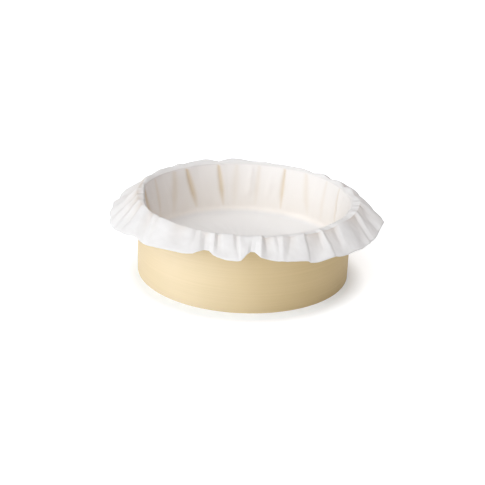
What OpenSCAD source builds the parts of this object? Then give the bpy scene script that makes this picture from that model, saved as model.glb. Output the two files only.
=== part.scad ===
// Paper baking ring: a stiff open band with a pleated sheet of baking paper hung inside it.
// The origin is the middle of the band's bottom edge, and the front of the ring faces -Y.

/* [Ring band] */
// Outer diameter of the band
ring_diameter = 160; // [130:5:220]
// Height of the band
ring_height = 57.5; // [45:0.5:80]
// Thickness of the board
board_thickness = 0.8; // [0.6:0.1:1.6]

/* [Paper liner] */
// Thickness of the paper
paper_thickness = 0.3; // [0.2:0.05:0.4]
// Space left between the paper and the board
paper_clearance = 0.4; // [0.35:0.05:0.7]
// Height of the underside of the liner's floor above the table
floor_lift = 16; // [6:1:20]
// Height of the rounded corner between the floor and the wall
corner_height = 7; // [5:0.5:10]
// Width of the rounded corner between the floor and the wall
corner_width = 5.5; // [4:0.5:8]
// How far the foot of the wall stands in from its top
wall_taper = 1.6; // [0.8:0.2:3]
// Depth of the pleats, as a share of the depths in the fold list
pleat_depth = 1; // [0:0.1:1.2]
// Length of the frill, as a share of the lengths in the fold list
frill_length = 1; // [0.8:0.05:1.15]
// How deep a pleat dents the frill below the rim, as a share of its depth in the wall
frill_dent = 2; // [0:0.5:2.5]

/* [Hidden] */

ring_radius = ring_diameter / 2;
ring_bore = ring_radius - board_thickness;
band_facets = 180;

// The liner's wall, and the line where the paper turns over the band's top edge
wall_radius = ring_bore - paper_clearance;
foot_radius = wall_radius - wall_taper;
floor_radius = foot_radius - corner_width;
foot_height = floor_lift + corner_height;
crest_height = ring_height + paper_clearance;
crest_radius = (ring_bore + ring_radius) / 2;

// The folds, anticlockwise from above and one row each: angle at the rim, lean of the wall fold
// from rim to foot, depth of the pleat, lift and spread of the rim, lean of the frill fold from
// rim to hem, reach of the hem beyond the band, drop of the hem below the rim, and 1 where the
// paper is creased or 0 where it bends softly
RIM = 0;
FOOT_LEAN = 1;
PLEAT = 2;
LIFT = 3;
SPREAD = 4;
HEM_LEAN = 5;
REACH = 6;
DROP = 7;
CREASED = 8;
FOLDS = [
    [4, 2, 0, 1.3, 4, 1, 23, 15, 1],
    [9, 3, 0.7, 0.3, 3.2, 2, 21.5, 15, 1],
    [16, 5, 0, 1.5, 3, 2, 21.5, 14, 0],
    [22, 6, 0.9, 0.3, 2, 3, 20, 12.5, 1],
    [29, 4, 0, 1.6, 1.8, 1, 22, 11, 0],
    [36, 4, 0.5, 0.4, 0.8, 0, 20, 12, 1],
    [42, 4, 0, 1.6, 1.4, 0, 22, 11, 0],
    [48, 4, 0.9, 0.3, 0.6, 1, 20.5, 12, 1],
    [57, 3, 0.5, 1.3, 1.2, 0, 22, 11, 0],
    [62, 2, 0, 1.1, 0.8, 0, 20, 12, 0],
    [66.5, 1.5, 1.8, 0.7, 1, 0, 22, 10.5, 1],
    [73, 3, 0.7, 0.6, 0.8, 1, 20, 12, 1],
    [80, 3, 0.3, 1.2, 1, 0, 22, 10, 0],
    [87, 1.5, 0.8, 1.2, 2, 0, 20.5, 11, 1],
    [94, 0, 0, 2.3, 3, 0, 23, 9.5, 0],
    [101, -1, 0.3, 2.2, 3.2, -1, 21, 11, 0],
    [106.5, -2, 2, 1.1, 2, -1, 22, 10, 1],
    [112, -3, 0, 2.6, 3.2, 0, 22, 10, 0],
    [120, -6, 0.4, 1.7, 4.5, 0, 23, 9, 1],
    [128, -8, 1.8, 0.8, 3.4, 1, 20, 12, 1],
    [131, -5, 0, 2.2, 4, 1, 22, 10, 1],
    [135.5, -3, 1, 1.2, 3.4, 0, 20.5, 12, 1],
    [144.5, -4, 0.7, 1.9, 3.4, -1, 21.5, 12, 0],
    [152, -5, 0.3, 0.5, 2.8, 0, 20, 13, 1],
    [160, -7, 0.6, 1.4, 2.4, 1, 20.4, 12.4, 0],
    [167, -8, 1.3, 0.5, 1.2, 1, 19.6, 14.2, 1],
    [172, -9, 1.6, 1.8, -1.5, 1, 21.2, 13.8, 1],
    [176, -8, 0.9, 0.6, -2.2, 2.5, 20, 14.9, 1],
    [180.5, -6, 0, 2.6, -3, 3.5, 21.2, 14.8, 1],
    [185, -4, 1.5, 0.6, -3.2, 4.5, 20.1, 16.7, 1],
    [189.5, -3, 0.2, 2, -3.2, 6, 22, 16.3, 1],
    [194, -2, 1.4, 0.6, -2.8, 4.8, 20.2, 17.7, 1],
    [198, -2, 0, 2.2, -2, 5, 20.6, 16.1, 1],
    [202, -1, 1.3, 0.6, -1.5, 4.5, 18.8, 15.9, 1],
    [204.3, 0, 0.2, 1.9, -1, 5, 19.4, 14.5, 1],
    [207, 0, 0, 2.2, 0.4, 7.5, 19.5, 13, 1],
    [210.5, 0, 0, 1.6, 0.4, 8.5, 19.2, 10.4, 0],
    [213.5, 0, 0.6, 0.4, 0.2, 8, 18.6, 11.3, 1],
    [216, 0, 0.8, 0.3, 0.2, 8.5, 18.2, 13.2, 1],
    [219, 0, 0, 1.6, 1, 8, 18.8, 12.8, 1],
    [221.7, 0, 0.4, 0.7, 0.6, 7.6, 19.7, 12, 1],
    [225, 0, 0, 1.7, 1.2, 7, 20, 11.3, 1],
    [231, 0, 0, 1.5, 1.2, 6, 21, 9.8, 0],
    [237.5, 0, 0.7, 1.1, 1, 5, 21, 9.4, 0],
    [243.5, 0, 0, 1.4, 1.4, 4.7, 21, 8.9, 0],
    [246.5, 0, 0.3, 0.8, 1.3, 4.2, 20.8, 8, 1],
    [249, 0, 0, 1.4, 1.8, 3.5, 18, 7, 1],
    [251.7, 0, 0.8, 0.7, 1.8, 2.1, 14, 7, 1],
    [254.3, 0, 0, 1.4, 2.2, 1.6, 14, 7, 1],
    [256.3, 0, 0, 1.5, 2.4, 2, 18.5, 7.7, 1],
    [257.7, 0, 0.9, 0, 2, 2.7, 20, 8.8, 1],
    [260, 0, 0, 1.4, 2.5, 3.7, 21, 9.6, 1],
    [264.8, 0, 0, 1.3, 2.6, 2.6, 21, 9.7, 1],
    [266.6, 0, 0.5, 0.5, 2.2, 1.9, 21, 9.5, 0],
    [268.3, 0, 0, 1.1, 2.5, 1.2, 21, 9, 1],
    [270.5, 0, 0, 0.7, 2.5, 0.1, 18.5, 7.6, 1],
    [272.5, 0, 0, 0.7, 2.6, -0.9, 16, 6.3, 1],
    [274.5, 0, 0, 0.9, 2.8, -1.9, 13, 6.1, 1],
    [276.3, 0, 0, 1.6, 3, -1.6, 13, 6, 1],
    [277.3, 0, 0, 1.4, 3, -1.7, 15.5, 6.3, 1],
    [278.3, 0, 0, 1.6, 3.2, -1.5, 20, 6.8, 1],
    [279.8, 0, 1.1, 0, 2.8, 0, 19.5, 8.5, 1],
    [284, 0, 0, 0.9, 3.6, -0.8, 20.6, 9.6, 1],
    [285.6, 0, 0.3, 0.5, 3.6, -1.2, 20.8, 9.7, 1],
    [288, 0, 0, 1.2, 4, -2.5, 21, 9.8, 1],
    [292, 0, 0.8, 0.1, 3.8, -5, 20.5, 10.5, 1],
    [295.5, 0, 0, 1.5, 4.4, -2.5, 20.5, 11.3, 1],
    [298.8, 0, 0, 1.6, 4.6, -2.8, 20.4, 11.8, 1],
    [300.2, 0, 0.6, 0.3, 4.2, -2.9, 20, 13.5, 1],
    [303.5, 0, 0.8, 0.1, 4.2, -2.7, 20, 14.1, 0],
    [307, 0, 1, 0, 4.2, -2.5, 20, 13.6, 1],
    [309, 0, 0, 1.5, 4.6, -0.5, 20.5, 12.5, 1],
    [311, 0, 0.6, 0.3, 4.2, -1.1, 19.6, 13.2, 1],
    [314, 0, 0.7, 0.2, 4.2, -2.2, 20, 13.9, 0],
    [317.5, 0, 0.9, 0, 4, -2.5, 20, 14.5, 1],
    [320.5, 0, 0, 1.1, 4.5, -3, 20, 14.9, 1],
    [324, 0, 0, 1.1, 4.5, -3.2, 20.4, 14.3, 0],
    [328, 0, 0.3, 0.6, 4.2, -3.2, 21, 14.7, 0],
    [332.5, 0, 0.6, 0.3, 4, -3.5, 20.3, 15.6, 0],
    [336.5, 0, 1, 0, 4, -4.2, 21.4, 14.2, 1],
    [338.5, 0, 0.8, 0.2, 4.2, -3.8, 20.3, 15.4, 1],
    [340.5, 0, 0, 1.6, 5, -3.5, 21.7, 14.3, 1],
    [345, 0, 0.5, 0.4, 4.6, -5, 22, 13.5, 1],
    [349, 0, 0.6, 1.4, 5, -4, 21, 15.3, 1],
    [352.5, 0, 0.5, 0.5, 4.8, -4.5, 22.5, 11.5, 1],
    [356, 1, 0, 1.5, 5, -3.5, 24, 10.5, 1],
    [360.3, 1, 0, 0.4, 4.6, -2.5, 23.3, 13.4, 1],
];
fold_count = len(FOLDS);

// Where the columns of points stand between one fold and the next
COLUMN_SHARES = [0, 0.4];
column_count = fold_count * len(COLUMN_SHARES);
// Share of the way to the next fold over which a pleat steps back out
pleat_step = COLUMN_SHARES[1];

// Where the rows of points stand: turns of the corner beside the floor, shares of the wall's
// height, turns of the paper over the board's inner edge, and shares of the frill's length
CORNER_TURNS = [0, 45];
WALL_SHARES = [0, 0.5, 0.8, 1];
EDGE_TURNS = [45, 90];
FRILL_SHARES = [0.3, 0.55, 0.78, 1];

// Shares of a pleat's depth that show at the foot and at the top of the wall, and the share that
// bulges between them
foot_share = 0.7;
top_share = 0.4;
middle_share = 1.5;
// Share of the wall's height above which its top may lean in over the floor
lean_start = 0.7;
// Share of the frill's reach over which it would run level
frill_shoulder = 0.15;
// What makes the hump of a dent in the frill 1 high
hump_scale = 27 / 4;

// A fold's value, with the list taken as a ring
function fold(i, field) = FOLDS[(i + fold_count) % fold_count][field];
function turns(i) = i < 0 ? -360 : i >= fold_count ? 360 : 0;
function rim_angle(i) = fold(i, RIM) + turns(i);

// A fold value's rise per degree across a soft bend, or along one panel at a crease
function bend_slope(i, field) =
    (fold(i + 1, field) - fold(i - 1, field)) / (rim_angle(i + 1) - rim_angle(i - 1));
function panel_slope(i, field) =
    (fold(i + 1, field) - fold(i, field)) / (rim_angle(i + 1) - rim_angle(i));
function slope_at(i, panel, field) =
    fold(i, CREASED) == 1 ? panel_slope(panel, field) : bend_slope(i, field);

// A curve between two values with a set slope at each end
function eased(a, slope_a, b, slope_b, t) =
    a * (2 * pow(t, 3) - 3 * pow(t, 2) + 1) + slope_a * (pow(t, 3) - 2 * pow(t, 2) + t)
    + b * (3 * pow(t, 2) - 2 * pow(t, 3)) + slope_b * (pow(t, 3) - pow(t, 2));
function between(a, b, t) = a + (b - a) * t;

// A fold value at share t of the way from fold i to the next one
function panel_value(i, t, field) =
    let (span = rim_angle(i + 1) - rim_angle(i))
    eased(fold(i, field), slope_at(i, i, field) * span,
          fold(i + 1, field), slope_at(i + 1, i, field) * span, t);
function leaning(i, t, field) = between(fold(i, field), fold(i + 1, field), t);

// Depth of the wall at share t: a pleat deepens towards its fold, then steps back out
function pleat_at(i, t) =
    pleat_depth * (t < pleat_step
        ? fold(i, PLEAT) * (1 - t / pleat_step)
        : fold(i + 1, PLEAT) * (t - pleat_step) / (1 - pleat_step));

// How far the flat panel between two folds stands in from the round wall
function panel_sag(i, t) =
    let (span = rim_angle(i + 1) - rim_angle(i))
    wall_radius * (1 - cos(span / 2)) * 4 * t * (1 - t);

// Points of the sheet's underside in one column, each as [radius, height, angle]
function corner_point(inset, foot, turn) = [
    floor_radius + (corner_width - foot_share * inset) * sin(turn),
    floor_lift + corner_height * (1 - cos(turn)),
    foot,
];
function wall_point(inset, overhang, foot, rim, s) =
    let (
        depth = between(foot_share, top_share, s) + middle_share * s * (1 - s),
        leaned = pow(max(0, (s - lean_start) / (1 - lean_start)), 2)
    )
    [
        between(foot_radius, wall_radius, s) - depth * inset - leaned * overhang,
        between(foot_height, ring_height, s),
        between(foot, rim, s),
    ];
function edge_point(wall_top, turn) =
    wall_top + paper_clearance * [1 - cos(turn), sin(turn), 0];
// A hump that is 1 at a third of the way and dies out towards the end
function hump(share) = hump_scale * share * pow(1 - share, 2);
// The folds of the rim and the dents of the pleats die out towards the hem
function frill_point(root, hem, dent, s) =
    let (
        outward = 2 * s * (1 - s) * frill_shoulder + pow(s, 2),
        lift = root[1] - crest_height
    )
    [
        between(root[0], hem[0], outward),
        between(crest_height, hem[1], pow(s, 2))
            + lift * pow(1 - outward, 2) - dent * hump(outward),
        between(root[2], hem[2], outward),
    ];

// One column from the floor's edge to the hem, at share t of the way from fold i to the next
function column(i, t) =
    let (
        rim = between(rim_angle(i), rim_angle(i + 1), t),
        foot = rim + leaning(i, t, FOOT_LEAN),
        inset = pleat_at(i, t) + panel_sag(i, t),
        spread = panel_value(i, t, SPREAD),
        overhang = max(0, -spread),
        wall_top = wall_point(inset, overhang, foot, rim, 1),
        crest = [crest_radius + spread, crest_height + panel_value(i, t, LIFT), rim],
        // The paper runs level over the board before the frill falls
        root = [max(crest[0], ring_radius) + paper_clearance, crest[1], rim],
        dent = frill_dent * pleat_depth * panel_value(i, t, PLEAT),
        hem = [
            ring_radius + frill_length * panel_value(i, t, REACH),
            crest_height - frill_length * panel_value(i, t, DROP),
            rim + leaning(i, t, HEM_LEAN),
        ]
    )
    [
        for (turn = CORNER_TURNS) corner_point(inset, foot, turn),
        for (s = WALL_SHARES) wall_point(inset, overhang, foot, rim, s),
        for (turn = EDGE_TURNS) edge_point(wall_top, turn),
        crest,
        root,
        for (s = FRILL_SHARES) frill_point(root, hem, dent, s),
    ];

function place(p) = [p[0] * cos(p[2]), p[0] * sin(p[2]), p[1]];

underside = [
    for (i = [0 : fold_count - 1]) for (t = COLUMN_SHARES) [for (p = column(i, t)) place(p)]
];
row_count = len(underside[0]);
hem_row = row_count - 1;

// The paper's direction out of its upper side at one point, from the points around it
function unit(v) = v / norm(v);
function facing(c, r) =
    let (
        across = underside[(c + 1) % column_count][r]
            - underside[(c + column_count - 1) % column_count][r],
        along = underside[c][min(r + 1, hem_row)] - underside[c][max(r - 1, 0)]
    )
    unit(cross(along, across));
// The floor's edge is level, so that the floor stays flat to its edge
function lift_off(c, r) = paper_thickness * (r == 0 ? [0, 0, 1] : facing(c, r));

// The two sides of the sheet, column by column, with the two middles of the floor first
SHEET_MIDDLES = [[0, 0, floor_lift], [0, 0, floor_lift + paper_thickness]];
under_points = [for (c = [0 : column_count - 1]) for (r = [0 : hem_row]) underside[c][r]];
upper_points = [
    for (c = [0 : column_count - 1]) for (r = [0 : hem_row]) underside[c][r] + lift_off(c, r)
];
function under(c, r) = 2 + (c % column_count) * row_count + r;
function upper(c, r) = under(c, r) + column_count * row_count;

sheet_faces = [
    for (c = [0 : column_count - 1]) each [
        [0, under(c, 0), under(c + 1, 0)],
        [1, upper(c + 1, 0), upper(c, 0)],
        [under(c, hem_row), upper(c, hem_row), upper(c + 1, hem_row)],
        [under(c, hem_row), upper(c + 1, hem_row), under(c + 1, hem_row)],
        for (r = [0 : hem_row - 1]) each [
            [under(c, r), under(c, r + 1), under(c + 1, r + 1)],
            [under(c, r), under(c + 1, r + 1), under(c + 1, r)],
            [upper(c, r), upper(c + 1, r + 1), upper(c, r + 1)],
            [upper(c, r), upper(c + 1, r), upper(c + 1, r + 1)],
        ],
    ],
];

module ring_band() {
    color("burlywood")
    rotate_extrude($fn = band_facets)
    translate([ring_bore, 0])
    square([board_thickness, ring_height]);
}

module liner() {
    color("white")
    polyhedron(points = concat(SHEET_MIDDLES, under_points, upper_points), faces = sheet_faces);
}

ring_band();
liner();
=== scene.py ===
"""Paper baking ring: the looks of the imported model, with its camera, floor and studio light."""

import math

import bpy
import numpy as np
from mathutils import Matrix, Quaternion, Vector, noise


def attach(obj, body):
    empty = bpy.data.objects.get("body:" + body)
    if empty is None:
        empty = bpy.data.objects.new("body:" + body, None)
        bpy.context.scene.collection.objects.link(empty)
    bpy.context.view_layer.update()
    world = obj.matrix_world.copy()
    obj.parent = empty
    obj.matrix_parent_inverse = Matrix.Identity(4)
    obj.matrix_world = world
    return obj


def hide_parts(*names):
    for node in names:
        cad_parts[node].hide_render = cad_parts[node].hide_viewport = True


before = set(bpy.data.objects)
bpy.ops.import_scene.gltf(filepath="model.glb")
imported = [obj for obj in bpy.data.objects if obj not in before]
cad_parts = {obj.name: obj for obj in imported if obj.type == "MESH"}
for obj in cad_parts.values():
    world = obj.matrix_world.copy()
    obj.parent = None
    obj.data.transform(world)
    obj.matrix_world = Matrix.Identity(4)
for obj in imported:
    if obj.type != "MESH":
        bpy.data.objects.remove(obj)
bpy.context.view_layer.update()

MM = 0.001

# Sizes of the part's source, in millimetres
RING_RADIUS = 80.0
RING_HEIGHT = 57.5
BOARD_THICKNESS = 0.8
CLEARANCE = 0.4
FLOOR_LIFT = 16.0
CORNER_HEIGHT = 7.0
CORNER_WIDTH = 5.5
WALL_TAPER = 1.6
# Share of the frill's reach over which it would run level
FRILL_SHOULDER = 0.15
# How deep a pleat dents the frill at a third of its reach, as a share of its depth in the wall
FRILL_DENT = 2.0
# What makes the hump of a dent in the frill 1 high
HUMP_SCALE = 27 / 4
# Shares of a pleat's depth that show at the foot and at the top of the wall, and the share that
# bulges between them
FOOT_SHARE = 0.7
TOP_SHARE = 0.4
MIDDLE_SHARE = 1.5
# Share of the wall's height above which its top may lean in over the floor
LEAN_START = 0.7

WALL_RADIUS = RING_RADIUS - BOARD_THICKNESS - CLEARANCE
FOOT_RADIUS = WALL_RADIUS - WALL_TAPER
FLOOR_RADIUS = FOOT_RADIUS - CORNER_WIDTH
FOOT_HEIGHT = FLOOR_LIFT + CORNER_HEIGHT
CREST_HEIGHT = RING_HEIGHT + CLEARANCE
CREST_RADIUS = RING_RADIUS - BOARD_THICKNESS / 2

# The folds, anticlockwise from above, as in the part's source: angle at the rim, lean of the wall
# fold from rim to foot, depth of the wall pleat, lift and spread of the rim, lean of the frill fold
# from rim to hem, reach of the hem beyond the band, drop of the hem below the rim, and 1 for a crease
FOLDS = np.array(
    [
        (4, 2, 0, 1.3, 4, 1, 23, 15, 1),
        (9, 3, 0.7, 0.3, 3.2, 2, 21.5, 15, 1),
        (16, 5, 0, 1.5, 3, 2, 21.5, 14, 0),
        (22, 6, 0.9, 0.3, 2, 3, 20, 12.5, 1),
        (29, 4, 0, 1.6, 1.8, 1, 22, 11, 0),
        (36, 4, 0.5, 0.4, 0.8, 0, 20, 12, 1),
        (42, 4, 0, 1.6, 1.4, 0, 22, 11, 0),
        (48, 4, 0.9, 0.3, 0.6, 1, 20.5, 12, 1),
        (57, 3, 0.5, 1.3, 1.2, 0, 22, 11, 0),
        (62, 2, 0, 1.1, 0.8, 0, 20, 12, 0),
        (66.5, 1.5, 1.8, 0.7, 1, 0, 22, 10.5, 1),
        (73, 3, 0.7, 0.6, 0.8, 1, 20, 12, 1),
        (80, 3, 0.3, 1.2, 1, 0, 22, 10, 0),
        (87, 1.5, 0.8, 1.2, 2, 0, 20.5, 11, 1),
        (94, 0, 0, 2.3, 3, 0, 23, 9.5, 0),
        (101, -1, 0.3, 2.2, 3.2, -1, 21, 11, 0),
        (106.5, -2, 2, 1.1, 2, -1, 22, 10, 1),
        (112, -3, 0, 2.6, 3.2, 0, 22, 10, 0),
        (120, -6, 0.4, 1.7, 4.5, 0, 23, 9, 1),
        (128, -8, 1.8, 0.8, 3.4, 1, 20, 12, 1),
        (131, -5, 0, 2.2, 4, 1, 22, 10, 1),
        (135.5, -3, 1, 1.2, 3.4, 0, 20.5, 12, 1),
        (144.5, -4, 0.7, 1.9, 3.4, -1, 21.5, 12, 0),
        (152, -5, 0.3, 0.5, 2.8, 0, 20, 13, 1),
        (160, -7, 0.6, 1.4, 2.4, 1, 20.4, 12.4, 0),
        (167, -8, 1.3, 0.5, 1.2, 1, 19.6, 14.2, 1),
        (172, -9, 1.6, 1.8, -1.5, 1, 21.2, 13.8, 1),
        (176, -8, 0.9, 0.6, -2.2, 2.5, 20, 14.9, 1),
        (180.5, -6, 0, 2.6, -3, 3.5, 21.2, 14.8, 1),
        (185, -4, 1.5, 0.6, -3.2, 4.5, 20.1, 16.7, 1),
        (189.5, -3, 0.2, 2, -3.2, 6, 22, 16.3, 1),
        (194, -2, 1.4, 0.6, -2.8, 4.8, 20.2, 17.7, 1),
        (198, -2, 0, 2.2, -2, 5, 20.6, 16.1, 1),
        (202, -1, 1.3, 0.6, -1.5, 4.5, 18.8, 15.9, 1),
        (204.3, 0, 0.2, 1.9, -1, 5, 19.4, 14.5, 1),
        (207, 0, 0, 2.2, 0.4, 7.5, 19.5, 13, 1),
        (210.5, 0, 0, 1.6, 0.4, 8.5, 19.2, 10.4, 0),
        (213.5, 0, 0.6, 0.4, 0.2, 8, 18.6, 11.3, 1),
        (216, 0, 0.8, 0.3, 0.2, 8.5, 18.2, 13.2, 1),
        (219, 0, 0, 1.6, 1, 8, 18.8, 12.8, 1),
        (221.7, 0, 0.4, 0.7, 0.6, 7.6, 19.7, 12, 1),
        (225, 0, 0, 1.7, 1.2, 7, 20, 11.3, 1),
        (231, 0, 0, 1.5, 1.2, 6, 21, 9.8, 0),
        (237.5, 0, 0.7, 1.1, 1, 5, 21, 9.4, 0),
        (243.5, 0, 0, 1.4, 1.4, 4.7, 21, 8.9, 0),
        (246.5, 0, 0.3, 0.8, 1.3, 4.2, 20.8, 8, 1),
        (249, 0, 0, 1.4, 1.8, 3.5, 18, 7, 1),
        (251.7, 0, 0.8, 0.7, 1.8, 2.1, 14, 7, 1),
        (254.3, 0, 0, 1.4, 2.2, 1.6, 14, 7, 1),
        (256.3, 0, 0, 1.5, 2.4, 2, 18.5, 7.7, 1),
        (257.7, 0, 0.9, 0, 2, 2.7, 20, 8.8, 1),
        (260, 0, 0, 1.4, 2.5, 3.7, 21, 9.6, 1),
        (264.8, 0, 0, 1.3, 2.6, 2.6, 21, 9.7, 1),
        (266.6, 0, 0.5, 0.5, 2.2, 1.9, 21, 9.5, 0),
        (268.3, 0, 0, 1.1, 2.5, 1.2, 21, 9, 1),
        (270.5, 0, 0, 0.7, 2.5, 0.1, 18.5, 7.6, 1),
        (272.5, 0, 0, 0.7, 2.6, -0.9, 16, 6.3, 1),
        (274.5, 0, 0, 0.9, 2.8, -1.9, 13, 6.1, 1),
        (276.3, 0, 0, 1.6, 3, -1.6, 13, 6, 1),
        (277.3, 0, 0, 1.4, 3, -1.7, 15.5, 6.3, 1),
        (278.3, 0, 0, 1.6, 3.2, -1.5, 20, 6.8, 1),
        (279.8, 0, 1.1, 0, 2.8, 0, 19.5, 8.5, 1),
        (284, 0, 0, 0.9, 3.6, -0.8, 20.6, 9.6, 1),
        (285.6, 0, 0.3, 0.5, 3.6, -1.2, 20.8, 9.7, 1),
        (288, 0, 0, 1.2, 4, -2.5, 21, 9.8, 1),
        (292, 0, 0.8, 0.1, 3.8, -5, 20.5, 10.5, 1),
        (295.5, 0, 0, 1.5, 4.4, -2.5, 20.5, 11.3, 1),
        (298.8, 0, 0, 1.6, 4.6, -2.8, 20.4, 11.8, 1),
        (300.2, 0, 0.6, 0.3, 4.2, -2.9, 20, 13.5, 1),
        (303.5, 0, 0.8, 0.1, 4.2, -2.7, 20, 14.1, 0),
        (307, 0, 1, 0, 4.2, -2.5, 20, 13.6, 1),
        (309, 0, 0, 1.5, 4.6, -0.5, 20.5, 12.5, 1),
        (311, 0, 0.6, 0.3, 4.2, -1.1, 19.6, 13.2, 1),
        (314, 0, 0.7, 0.2, 4.2, -2.2, 20, 13.9, 0),
        (317.5, 0, 0.9, 0, 4, -2.5, 20, 14.5, 1),
        (320.5, 0, 0, 1.1, 4.5, -3, 20, 14.9, 1),
        (324, 0, 0, 1.1, 4.5, -3.2, 20.4, 14.3, 0),
        (328, 0, 0.3, 0.6, 4.2, -3.2, 21, 14.7, 0),
        (332.5, 0, 0.6, 0.3, 4, -3.5, 20.3, 15.6, 0),
        (336.5, 0, 1, 0, 4, -4.2, 21.4, 14.2, 1),
        (338.5, 0, 0.8, 0.2, 4.2, -3.8, 20.3, 15.4, 1),
        (340.5, 0, 0, 1.6, 5, -3.5, 21.7, 14.3, 1),
        (345, 0, 0.5, 0.4, 4.6, -5, 22, 13.5, 1),
        (349, 0, 0.6, 1.4, 5, -4, 21, 15.3, 1),
        (352.5, 0, 0.5, 0.5, 4.8, -4.5, 22.5, 11.5, 1),
        (356, 1, 0, 1.5, 5, -3.5, 24, 10.5, 1),
        (360.3, 1, 0, 0.4, 4.6, -2.5, 23.3, 13.4, 1),
    ]
)
RIM, FOOT_LEAN, PLEAT, LIFT, SPREAD, HEM_LEAN, REACH, DROP, CREASED = range(9)

# The wall's creases, where the paper lies against the board between softer billows: angle at the
# rim, angle at the foot, width in degrees, and strength, which is below zero for a ridge; the
# strengths also set the board's tint and the painted shade in the creases
CREASES = (
    (173.0, 160.0, 1.9, 0.9),
    (155.0, 150.0, 1.6, 0.35),
    (146.0, 140.5, 1.4, -0.7),
    (137.0, 138.5, 3.0, 0.4),
    (128.3, 121.0, 1.9, 1.0),
    (107.2, 103.8, 1.6, 1.0),
    (96.0, 97.0, 2.2, 0.2),
    (87.0, 89.3, 2.0, -1.0),
    (82.5, 84.0, 1.8, 0.25),
    (73.5, 78.0, 1.8, -0.7),
    (66.7, 67.8, 1.3, 0.9),
    (52.5, 49.0, 2.2, 0.3),
    (36.0, 38.0, 1.6, 0.2),
    (22.8, 23.2, 1.2, 0.4),
    (340.0, 342.0, 1.5, 0.4),
    (300.0, 303.0, 1.5, 0.5),
    (255.0, 252.0, 1.5, 0.5),
    (214.0, 210.0, 1.5, 0.5),
)
# Share of a crease's strength that shows at the foot of the wall, and how fast the rest comes in
CREASE_AT_FOOT = 0.3
CREASE_GAIN = 2.0
# Share of a crease's width half way up that is left at its two ends
CREASE_END_WIDTH = 0.45
# How far the paper stands in from the board between the creases, in millimetres
BILLOW = 1.1
# Share of the fold list's pleats that is left in the wall beside its creases
WALL_PLEAT_SHARE = 0.45

# Radius of the small face that closes the middle of the floor, in millimetres
MIDDLE_RADIUS = 1.0
# How finely the sheet is drawn
COLUMNS_PER_FOLD = 8
FLOOR_ROWS = 7
CORNER_ROWS = 8
WALL_ROWS = 20
EDGE_ROWS = 3
CREST_ROWS = 7
FRILL_ROWS = 25
# Thickness of the paper as it is drawn, in millimetres
SHEET_THICKNESS = 0.15
# Share of the way to the next fold over which a wall pleat steps back out
PLEAT_STEP = 0.14
# Names of the mesh's own values for how strongly a point shows a crease's board tint and painted
# shade, or the painted shade of a gather
CREASE_SHADE_MARK = "crease_shade_mark"
GATHER_SHADE_MARK = "gather_shade_mark"
# How soon the painted shade in the frill's gathers fades towards its hem
GATHER_SHADE_FADING = 1.5
# Columns to each side over which the frill's creases are rounded, one pass after the other
ROUNDING_PASSES = (1, 2, 3)
# Widths and depths of the paper's unevenness, in millimetres
CRUMPLES = ((14.0, 0.7), (6.0, 0.35), (3.0, 0.12))
# How far the unevenness may move the paper back beside the board, and how much more it may move it
# for each millimetre away from there
BACKWARD_LIMIT = 0.08
BACKWARD_EASE = 0.3


def fold(i, field):
    return FOLDS[i % len(FOLDS), field]


def rim_angle(i):
    return fold(i, RIM) + 360.0 * (i // len(FOLDS))


def slope_at(i, panel, field):
    """A fold value's rise per degree at fold i, along one panel at a crease or across a soft bend."""
    first, last = (panel, panel + 1) if fold(i, CREASED) else (i - 1, i + 1)
    return (fold(last, field) - fold(first, field)) / (rim_angle(last) - rim_angle(first))


def panel_value(i, t, field):
    """A fold value at the shares t of the way from fold i to the next one."""
    span = rim_angle(i + 1) - rim_angle(i)
    a, b = fold(i, field), fold(i + 1, field)
    rise_a = slope_at(i, i, field) * span
    rise_b = slope_at(i + 1, i, field) * span
    return (
        a * (2 * t**3 - 3 * t**2 + 1)
        + rise_a * (t**3 - 2 * t**2 + t)
        + b * (3 * t**2 - 2 * t**3)
        + rise_b * (t**3 - t**2)
    )


def straight(i, t, field):
    return fold(i, field) * (1 - t) + fold(i + 1, field) * t


def pleat_at(i, t):
    """Depth of the wall: a pleat deepens towards its fold, then steps back out."""
    stepping = fold(i, PLEAT) * (1 - t / PLEAT_STEP)
    deepening = fold(i + 1, PLEAT) * (t - PLEAT_STEP) / (1 - PLEAT_STEP)
    return np.where(t < PLEAT_STEP, stepping, deepening)


def arch(share):
    """A rise that is 1 half way and 0 at both ends."""
    return 4 * share * (1 - share)


def panel_sag(i, t):
    """How far the flat panel between two folds stands in from the round wall."""
    span = math.radians(rim_angle(i + 1) - rim_angle(i))
    return WALL_RADIUS * (1 - math.cos(span / 2)) * arch(t)


def all_round(per_panel):
    """One value for each column of the sheet, panel after panel."""
    shares = np.linspace(0, 1, COLUMNS_PER_FOLD, endpoint=False)
    return np.concatenate([per_panel(i, shares) for i in range(len(FOLDS))])


class Columns:
    """The fold values at every column of the sheet."""

    def __init__(self):
        self.rim = all_round(lambda i, t: rim_angle(i) * (1 - t) + rim_angle(i + 1) * t)
        self.foot = self.rim + all_round(lambda i, t: straight(i, t, FOOT_LEAN))
        self.hem = self.rim + all_round(lambda i, t: straight(i, t, HEM_LEAN))
        self.inset = WALL_PLEAT_SHARE * all_round(pleat_at) + all_round(panel_sag)
        self.lift = all_round(lambda i, t: panel_value(i, t, LIFT))
        spread = all_round(lambda i, t: panel_value(i, t, SPREAD))
        self.overhang = np.maximum(0, -spread)
        self.wall_top = WALL_RADIUS - TOP_SHARE * self.inset - self.overhang
        self.crest = CREST_RADIUS + spread
        self.dent = FRILL_DENT * all_round(lambda i, t: panel_value(i, t, PLEAT))
        self.reach = RING_RADIUS + all_round(lambda i, t: panel_value(i, t, REACH))
        self.fall = CREST_HEIGHT - all_round(lambda i, t: panel_value(i, t, DROP))


def ring_of(radius, height, angle):
    """One row of the sheet, as [radius, height, angle] for every column."""
    return np.array(np.broadcast_arrays(radius, height, angle), dtype=float)


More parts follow.
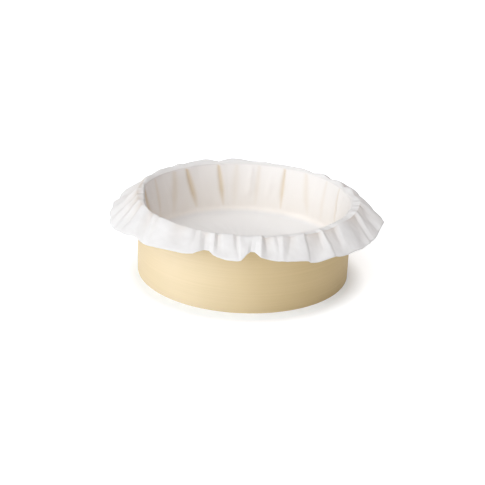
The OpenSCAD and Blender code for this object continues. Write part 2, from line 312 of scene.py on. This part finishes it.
def floor_rows(columns):
    radii = np.linspace(MIDDLE_RADIUS, FLOOR_RADIUS, FLOOR_ROWS, endpoint=False)
    return [ring_of(radius, FLOOR_LIFT, columns.foot) for radius in radii]


def corner_rows(columns):
    made = []
    for turn in np.linspace(0, math.pi / 2, CORNER_ROWS, endpoint=False):
        out, up = math.sin(turn), 1 - math.cos(turn)
        radius = FLOOR_RADIUS + (CORNER_WIDTH - FOOT_SHARE * columns.inset) * out
        made.append(ring_of(radius, FLOOR_LIFT + CORNER_HEIGHT * up, columns.foot))
    return made


def creases_at(angle, s):
    """How strongly the creases and ridges show at each angle, at share s of the wall's height."""
    total = np.zeros_like(angle)
    fading = min(1.0, CREASE_AT_FOOT + CREASE_GAIN * s)
    for rim, foot, width, strength in CREASES:
        middle = foot + (rim - foot) * s
        away = (angle - middle + 180) % 360 - 180
        spread = width * (CREASE_END_WIDTH + (1 - CREASE_END_WIDTH) * arch(s))
        total += strength * fading * np.exp(-((away / spread) ** 2))
    return total


def wall_rows(columns):
    made = []
    for s in np.linspace(0, 1, WALL_ROWS, endpoint=False):
        depth = FOOT_SHARE * (1 - s) + TOP_SHARE * s + MIDDLE_SHARE * s * (1 - s)
        leaning_in = columns.overhang * max(0, (s - LEAN_START) / (1 - LEAN_START)) ** 2
        angle = columns.foot + (columns.rim - columns.foot) * s
        billow = BILLOW * arch(s) * (1 - creases_at(angle, s))
        radius = FOOT_RADIUS + WALL_TAPER * s - depth * columns.inset - leaning_in - billow
        height = FOOT_HEIGHT + (RING_HEIGHT - FOOT_HEIGHT) * s
        made.append(ring_of(radius, height, angle))
    return made


def edge_rows(columns):
    """The tight turn over the board's inner edge, at the paper's clearance from it."""
    made = []
    for turn in np.linspace(0, math.pi / 2, EDGE_ROWS, endpoint=False):
        radius = columns.wall_top + CLEARANCE * (1 - math.cos(turn))
        made.append(ring_of(radius, RING_HEIGHT + CLEARANCE * math.sin(turn), columns.rim))
    return made


def crest_rows(columns):
    """The rise over the board to the crest, which ends level."""
    made = []
    start = columns.wall_top + CLEARANCE
    for s in np.linspace(0, 1, CREST_ROWS):
        radius = start + (columns.crest - start) * s
        height = CREST_HEIGHT + columns.lift * (2 * s - s**2)
        made.append(ring_of(radius, height, columns.rim))
    return made


def hump(share):
    """A hump that is 1 at a third of the way and dies out towards the end."""
    return HUMP_SCALE * share * (1 - share) ** 2


def softened(values):
    """The values with their creases rounded."""
    for reach in ROUNDING_PASSES:
        values = (np.roll(values, reach) + 2 * values + np.roll(values, -reach)) / 4
    return values


def frill_rows(columns):
    """The frill, level where it leaves the board and steeper towards its hem."""
    made = []
    root = np.maximum(columns.crest, RING_RADIUS) + CLEARANCE
    for s in np.linspace(0, 1, FRILL_ROWS):
        outward = 2 * s * (1 - s) * FRILL_SHOULDER + s**2
        radius = root + (columns.reach - root) * outward
        height = CREST_HEIGHT + (columns.fall - CREST_HEIGHT) * s**2
        height = height + columns.lift * (1 - outward) ** 2 - columns.dent * hump(outward)
        height = height + s * (softened(height) - height)
        angle = columns.rim + (columns.hem - columns.rim) * outward
        made.append(ring_of(radius, height, angle))
    return made


def sheet_rows(columns):
    """The sheet's underside from its middle to its hem, as rows of [radius, height, angle]."""
    parts = (floor_rows, corner_rows, wall_rows, edge_rows, crest_rows, frill_rows)
    return np.array([row for part in parts for row in part(columns)])


def sheet_points(table):
    radius, height, angle = table[:, 0], table[:, 1], np.radians(table[:, 2])
    return np.stack([radius * np.cos(angle), radius * np.sin(angle), height], axis=-1)


def facing(points):
    """The direction out of the sheet's upper side at each point."""
    across = np.roll(points, -1, axis=1) - np.roll(points, 1, axis=1)
    along = np.gradient(points, axis=0)
    normal = np.cross(along, across)
    return normal / np.linalg.norm(normal, axis=-1, keepdims=True)


def gather_shade_marks(table, columns):
    """How strongly each point of the sheet shows painted shade in a gather of the frill, from 0 to 1.
    """
    pleat = np.clip(softened(columns.dent / FRILL_DENT), 0, 1)
    marks = np.zeros_like(table[:, 0])
    shares = np.linspace(0, 1, FRILL_ROWS)[:, None]
    marks[-FRILL_ROWS:] = pleat * (1 - shares) ** GATHER_SHADE_FADING
    return marks


def crease_shade_marks(table):
    """How strongly each point of the sheet shows a wall crease's board tint and painted shade, from 0
    to 1.
    """
    radius, height, angle = table[:, 0], table[:, 1], table[:, 2]
    share = (height[:, 0] - FOOT_HEIGHT) / (RING_HEIGHT - FOOT_HEIGHT)
    marks = np.zeros_like(radius)
    for row in range(FLOOR_ROWS + CORNER_ROWS, FLOOR_ROWS + CORNER_ROWS + WALL_ROWS):
        marks[row] = creases_at(angle[row], share[row])
    return np.clip(marks, 0, 1)


def add_mesh(name, points, faces, material):
    mesh = bpy.data.meshes.new(name)
    mesh.from_pydata([tuple(p) for p in points], [], faces)
    mesh.materials.append(material)
    for polygon in mesh.polygons:
        polygon.use_smooth = True
    mesh.update()
    piece = bpy.data.objects.new(name, mesh)
    bpy.context.scene.collection.objects.link(piece)
    return piece


def lowest_shift(table):
    """How far each point may move back towards the board, or down to it, and stay clear of it."""
    radius, height = table[:, 0], table[:, 1]
    beyond = np.maximum(0, radius - RING_RADIUS - CLEARANCE)
    below = np.maximum(0, FOOT_HEIGHT - height)
    return -BACKWARD_LIMIT - BACKWARD_EASE * (beyond + below)


def crumpled(points, lowest):
    """The sheet with the small unevenness of handled paper, along its own normals."""
    normals = facing(points)
    shift = np.zeros(points.shape[:2])
    for index in np.ndindex(shift.shape):
        place = Vector(points[index])
        shift[index] = sum(depth * noise.noise(place / width) for width, depth in CRUMPLES)
    return points + normals * np.maximum(shift, lowest)[..., None]


def add_marks(piece, name, marks):
    """Gives a value to each point of the sheet's two sides."""
    attribute = piece.data.attributes.new(name, "FLOAT", "POINT")
    attribute.data.foreach_set("value", np.tile(marks.reshape(-1), 2))


def sheet_faces(row_count, column_count):
    """The faces of the sheet's underside and upper side, of its hem and of its middle."""
    side = row_count * column_count
    hem = side - column_count
    faces = []
    for row in range(row_count - 1):
        for column in range(column_count):
            beside = (column + 1) % column_count
            a, b = row * column_count + column, row * column_count + beside
            c, d = b + column_count, a + column_count
            faces.append((a, d, c, b))
            faces.append((side + a, side + b, side + c, side + d))
    for column in range(column_count):
        beside = (column + 1) % column_count
        faces.append((hem + column, side + hem + column, side + hem + beside, hem + beside))
    faces.append(tuple(range(column_count)))
    faces.append(tuple(side + column for column in reversed(range(column_count))))
    return faces


def build_liner(material):
    columns = Columns()
    table = sheet_rows(columns)
    under = crumpled(sheet_points(table), lowest_shift(table))
    upper = under + SHEET_THICKNESS * facing(under)
    points = np.concatenate([under.reshape(-1, 3), upper.reshape(-1, 3)]) * MM
    liner = add_mesh("paper_liner", points, sheet_faces(*under.shape[:2]), material)
    # Painted shade, in the board's tint, along the wall's creases
    add_marks(liner, CREASE_SHADE_MARK, crease_shade_marks(table))
    # Painted shade in the frill's gathers
    add_marks(liner, GATHER_SHADE_MARK, gather_shade_marks(table, columns))
    return liner


class Nodes:
    """A material's nodes, with short calls to add and join them."""

    def __init__(self, name):
        self.material = bpy.data.materials.new(name)
        self.material.use_nodes = True
        self.tree = self.material.node_tree
        self.shader = self.tree.nodes["Principled BSDF"]

    def add(self, kind, inputs=None, **settings):
        node = self.tree.nodes.new(kind)
        for key, value in settings.items():
            setattr(node, key, value)
        for key, value in (inputs or {}).items():
            self.feed(node.inputs[key], value)
        return node

    def feed(self, socket, value):
        if isinstance(value, bpy.types.NodeSocket):
            self.tree.links.new(value, socket)
        else:
            socket.default_value = value

    def place(self):
        return self.add("ShaderNodeTexCoord").outputs["Object"]

    def stretch(self, vector, scale):
        node = self.add("ShaderNodeVectorMath", {0: vector, 1: scale}, operation="MULTIPLY")
        return node.outputs["Vector"]

    def radius(self, place):
        """Distance from the ring's axis."""
        flat = self.stretch(place, (1, 1, 0))
        return self.add("ShaderNodeVectorMath", {0: flat}, operation="LENGTH").outputs["Value"]

    def mark(self, name):
        return self.add("ShaderNodeAttribute", attribute_name=name).outputs["Fac"]

    def noise(self, vector, scale=1.0, detail=3.0):
        node = self.add("ShaderNodeTexNoise", {"Vector": vector, "Scale": scale, "Detail": detail})
        return node.outputs["Fac"]

    def spread(self, value, low, high, to_low=0.0, to_high=1.0):
        node = self.add(
            "ShaderNodeMapRange",
            {"Value": value, "From Min": low, "From Max": high, "To Min": to_low, "To Max": to_high},
        )
        return node.outputs["Result"]

    def between(self, value, ends):
        """How far a value in metres has come between two ends in millimetres, from 0 to 1."""
        return self.spread(value, ends[0] * MM, ends[1] * MM)

    def mix(self, share, first, second):
        node = self.add("ShaderNodeMix", data_type="RGBA")
        self.feed(node.inputs[0], share)
        self.feed(node.inputs[6], first)
        self.feed(node.inputs[7], second)
        return node.outputs[2]

    def times(self, first, second):
        node = self.add("ShaderNodeMath", {0: first, 1: second}, operation="MULTIPLY")
        return node.outputs[0]

    def bump(self, height, strength, distance):
        node = self.add(
            "ShaderNodeBump", {"Height": height, "Strength": strength, "Distance": distance}
        )
        self.feed(self.shader.inputs["Normal"], node.outputs["Normal"])

    def surface(self, color, roughness, sheen):
        self.feed(self.shader.inputs["Base Color"], color)
        self.feed(self.shader.inputs["Roughness"], roughness)
        self.feed(self.shader.inputs["Specular IOR Level"], sheen)


# How rough each surface is, and how strongly it shines
PAPER_SURFACE = (0.9, 0.0)
BOARD_SURFACE = (0.7, 0.5)
FLOOR_SURFACE = (0.9, 0.0)

# The paper's colours: two whites of the frill, the sheet inside, the wall at its top and at its
# foot where the board shows through, a crease against the board in the board's tint with painted
# shade, and painted shade in a gather below the rim
WHITE_DEEP = (0.75, 0.75, 0.75, 1)
WHITE_PALE = (0.78, 0.78, 0.78, 1)
INSIDE_PAPER = (0.77, 0.765, 0.76, 1)
WALL_TOP_PAPER = (0.915, 0.9, 0.885, 1)
WALL_FOOT_PAPER = (0.915, 0.878, 0.835, 1)
BOARD_TINT_AND_CREASE_SHADE = (0.76, 0.66, 0.52, 1)
GATHER_SHADE_PAPER = (0.63, 0.58, 0.535, 1)
# Where the wall's colour comes in above the floor and goes out at the rim, as two heights each, and
# where it goes out towards the frill, as two radii, all in millimetres
WALL_COLOR_FOOT = (FLOOR_LIFT + 1, FLOOR_LIFT + 4)
WALL_COLOR_TOP = (RING_HEIGHT + 0.6, RING_HEIGHT - 1)
INSIDE_EDGE = (RING_RADIUS + 1, RING_RADIUS - 1)
# How fine the paper's clouds and fibres are, per metre
PAPER_MOTTLE = 90.0
PAPER_FIBRE = 1400.0
# The part of the noise that shows as clouds
PAPER_MOTTLE_RANGE = (0.35, 0.65)
# Strength of the fibres' bumps, and their height in metres
PAPER_BUMP = (0.12, 0.0002)


def wall_colors(nodes, height, inside):
    """How strongly the board shows through, and the colour where it does."""
    above_floor = nodes.between(height, WALL_COLOR_FOOT)
    below_rim = nodes.between(height, WALL_COLOR_TOP)
    near_board = nodes.times(nodes.times(above_floor, below_rim), inside)
    towards_foot = nodes.between(height, (RING_HEIGHT, FOOT_HEIGHT))
    return near_board, nodes.mix(towards_foot, WALL_TOP_PAPER, WALL_FOOT_PAPER)


def paper_material():
    nodes = Nodes("baking_paper_looks")
    place = nodes.place()
    height = nodes.add("ShaderNodeSeparateXYZ", {0: place}).outputs["Z"]
    mottle = nodes.spread(nodes.noise(place, PAPER_MOTTLE), *PAPER_MOTTLE_RANGE)
    inside = nodes.between(nodes.radius(place), INSIDE_EDGE)
    sheet = nodes.mix(inside, nodes.mix(mottle, WHITE_DEEP, WHITE_PALE), INSIDE_PAPER)
    near_board, wall = wall_colors(nodes, height, inside)
    # Painted shade in the wall's creases, in the board's tint where the paper lies against it
    with_crease_shade = nodes.mix(nodes.mark(CREASE_SHADE_MARK), nodes.mix(near_board, sheet, wall), BOARD_TINT_AND_CREASE_SHADE)
    # Painted shade in the frill's gathers below the rim
    with_gather_shade = nodes.mix(nodes.mark(GATHER_SHADE_MARK), with_crease_shade, GATHER_SHADE_PAPER)
    nodes.surface(with_gather_shade, *PAPER_SURFACE)
    nodes.bump(nodes.noise(place, PAPER_FIBRE), *PAPER_BUMP)
    return nodes.material


# The board's colours: two tans of its streaks, and the greyer tan of its clouds
TAN_DEEP = (0.495, 0.378, 0.185, 1)
TAN_PALE = (0.535, 0.409, 0.207, 1)
TAN_CLOUD = (0.56, 0.434, 0.247, 1)
# How strongly the clouds show at most
CLOUD_SHARE = 0.35
# How fine the streaks are round the ring and up it, and how fine the clouds are, per metre
STREAK_SCALES = (12.0, 12.0, 900.0)
CLOUD_SCALE = 28.0
# How much fine detail the streaks and the clouds hold
STREAK_DETAIL = 4.0
CLOUD_DETAIL = 2.0
# The part of the noise that shows as streaks and clouds
BOARD_NOISE_RANGE = (0.3, 0.7)
# Strength of the streaks' bumps, and their height in metres
BOARD_BUMP = (0.05, 0.0001)


def board_material():
    nodes = Nodes("ring_board_looks")
    place = nodes.place()
    streaks = nodes.noise(nodes.stretch(place, STREAK_SCALES), detail=STREAK_DETAIL)
    clouds = nodes.noise(place, CLOUD_SCALE, CLOUD_DETAIL)
    tan = nodes.mix(nodes.spread(streaks, *BOARD_NOISE_RANGE), TAN_DEEP, TAN_PALE)
    cloud_share = nodes.spread(clouds, *BOARD_NOISE_RANGE, 0.0, CLOUD_SHARE)
    nodes.surface(nodes.mix(cloud_share, tan, TAN_CLOUD), *BOARD_SURFACE)
    nodes.bump(streaks, *BOARD_BUMP)
    return nodes.material


# A light of the floor's own: dim next to the ring, which paints a narrow shadow there, and strong
# farther out, which paints over the ring's cast shadow and keeps the floor white
FLOOR_GLOW_IN_PAINTED_SHADOW = 0.27
FLOOR_GLOW_FAR = 0.62
GLOW_COLOR = (1, 0.985, 0.98, 1)
# How far from the ring the painted shadow reaches, where the floor's light has its full strength, in
# millimetres
PAINTED_SHADOW_REACH = 14.0
# What is added to each place, in metres, so that the painted shadow reaches farther in front of the
# ring
PAINTED_SHADOW_SHIFT = (0.0, 0.01, 0.0)
FLOOR_COLOR = (0.7, 0.74, 0.78, 1)
# Width of the square floor, in metres
FLOOR_SIZE = 12.0


def floor_material():
    nodes = Nodes("studio_floor_looks")
    shifted = nodes.add("ShaderNodeVectorMath", {0: nodes.place(), 1: PAINTED_SHADOW_SHIFT}, operation="ADD")
    radius = nodes.radius(shifted.outputs["Vector"])
    # The floor's own light, dimmed next to the ring as a painted shadow
    glow_with_painted_shadow = nodes.spread(
        radius, RING_RADIUS * MM, (RING_RADIUS + PAINTED_SHADOW_REACH) * MM, FLOOR_GLOW_IN_PAINTED_SHADOW, FLOOR_GLOW_FAR
    )
    nodes.feed(nodes.shader.inputs["Emission Strength"], glow_with_painted_shadow)
    nodes.feed(nodes.shader.inputs["Emission Color"], GLOW_COLOR)
    nodes.surface(FLOOR_COLOR, *FLOOR_SURFACE)
    return nodes.material


def build_floor():
    bpy.ops.mesh.primitive_plane_add(size=FLOOR_SIZE, location=(0, 0, 0))
    floor = bpy.context.object
    floor.name = "studio_floor"
    floor.data.materials.append(floor_material())


# Soft lights, as azimuth and elevation in degrees, strength, and width in degrees
LIGHTS = {
    "key_light": (240, 25, 1.53, 60),
    "side_light": (205, 35, 0.5, 60),
    "overhead_light": (270, 88, 1.13, 60),
}
# The colour of every lamp, slightly cool beside the warm shade
LIGHT_COLOR = (0.955, 0.985, 1.0)
# A light that only reflections show, for the board's sheen on the left
SHEEN_LIGHT = (211, 6, 48.0, 68)
# An even light all round, slightly warm in the shade
WORLD_STRENGTH = 0.31
WORLD_COLOR = (1.0, 0.86, 0.81, 1)


def add_sun(name, azimuth, elevation, strength, width):
    sun = bpy.data.lights.new(name, "SUN")
    sun.energy = strength
    sun.angle = math.radians(width)
    sun.color = LIGHT_COLOR
    lamp = bpy.data.objects.new(name, sun)
    bpy.context.scene.collection.objects.link(lamp)
    lamp.rotation_euler = (math.radians(90 - elevation), 0, math.radians(azimuth + 90))
    return lamp


def build_light():
    for name, settings in LIGHTS.items():
        add_sun(name, *settings)
    sheen = add_sun("sheen_light", *SHEEN_LIGHT)
    sheen.visible_diffuse = False
    sheen.visible_transmission = False
    world = bpy.data.worlds.new("studio_world")
    world.use_nodes = True
    background = world.node_tree.nodes["Background"]
    background.inputs["Color"].default_value = WORLD_COLOR
    background.inputs["Strength"].default_value = WORLD_STRENGTH
    bpy.context.scene.world = world


# The camera, found by matching the band's bottom edge, sides and rim in the photograph: distance in
# metres, elevation and roll in degrees, lens and sensor in millimetres
CAMERA_DISTANCE = 0.8
CAMERA_ELEVATION = 23.76
CAMERA_ROLL = 2.55
CAMERA_LENS = 77.34
SENSOR_WIDTH = 36.0
# How far the camera looks beside and above the origin, as sideways and upward slopes
AIM_ASIDE = -0.00104
AIM_ABOVE = 0.0235


def build_camera():
    elevation = math.radians(CAMERA_ELEVATION)
    back = Vector((0, -math.cos(elevation), math.sin(elevation)))
    level = Vector((1, 0, 0))
    forward = (AIM_ASIDE * level + AIM_ABOVE * back.cross(level) - back).normalized()
    camera_data = bpy.data.cameras.new("photo_camera")
    camera_data.lens = CAMERA_LENS
    camera_data.sensor_width = SENSOR_WIDTH
    camera = bpy.data.objects.new("photo_camera", camera_data)
    bpy.context.scene.collection.objects.link(camera)
    camera.location = back * CAMERA_DISTANCE
    camera.rotation_mode = "QUATERNION"
    upright = forward.to_track_quat("-Z", "Y")
    camera.rotation_quaternion = upright @ Quaternion((0, 0, 1), math.radians(CAMERA_ROLL))
    bpy.context.scene.camera = camera


def dress():
    board = board_material()
    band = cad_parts["ring_band"]
    for slot in band.material_slots:
        slot.material = board
    liner = build_liner(paper_material())
    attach(liner, "root")
    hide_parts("liner")


scene = bpy.context.scene
scene.view_settings.view_transform = "Standard"
scene.view_settings.look = "None"
dress()
build_floor()
build_light()
build_camera()
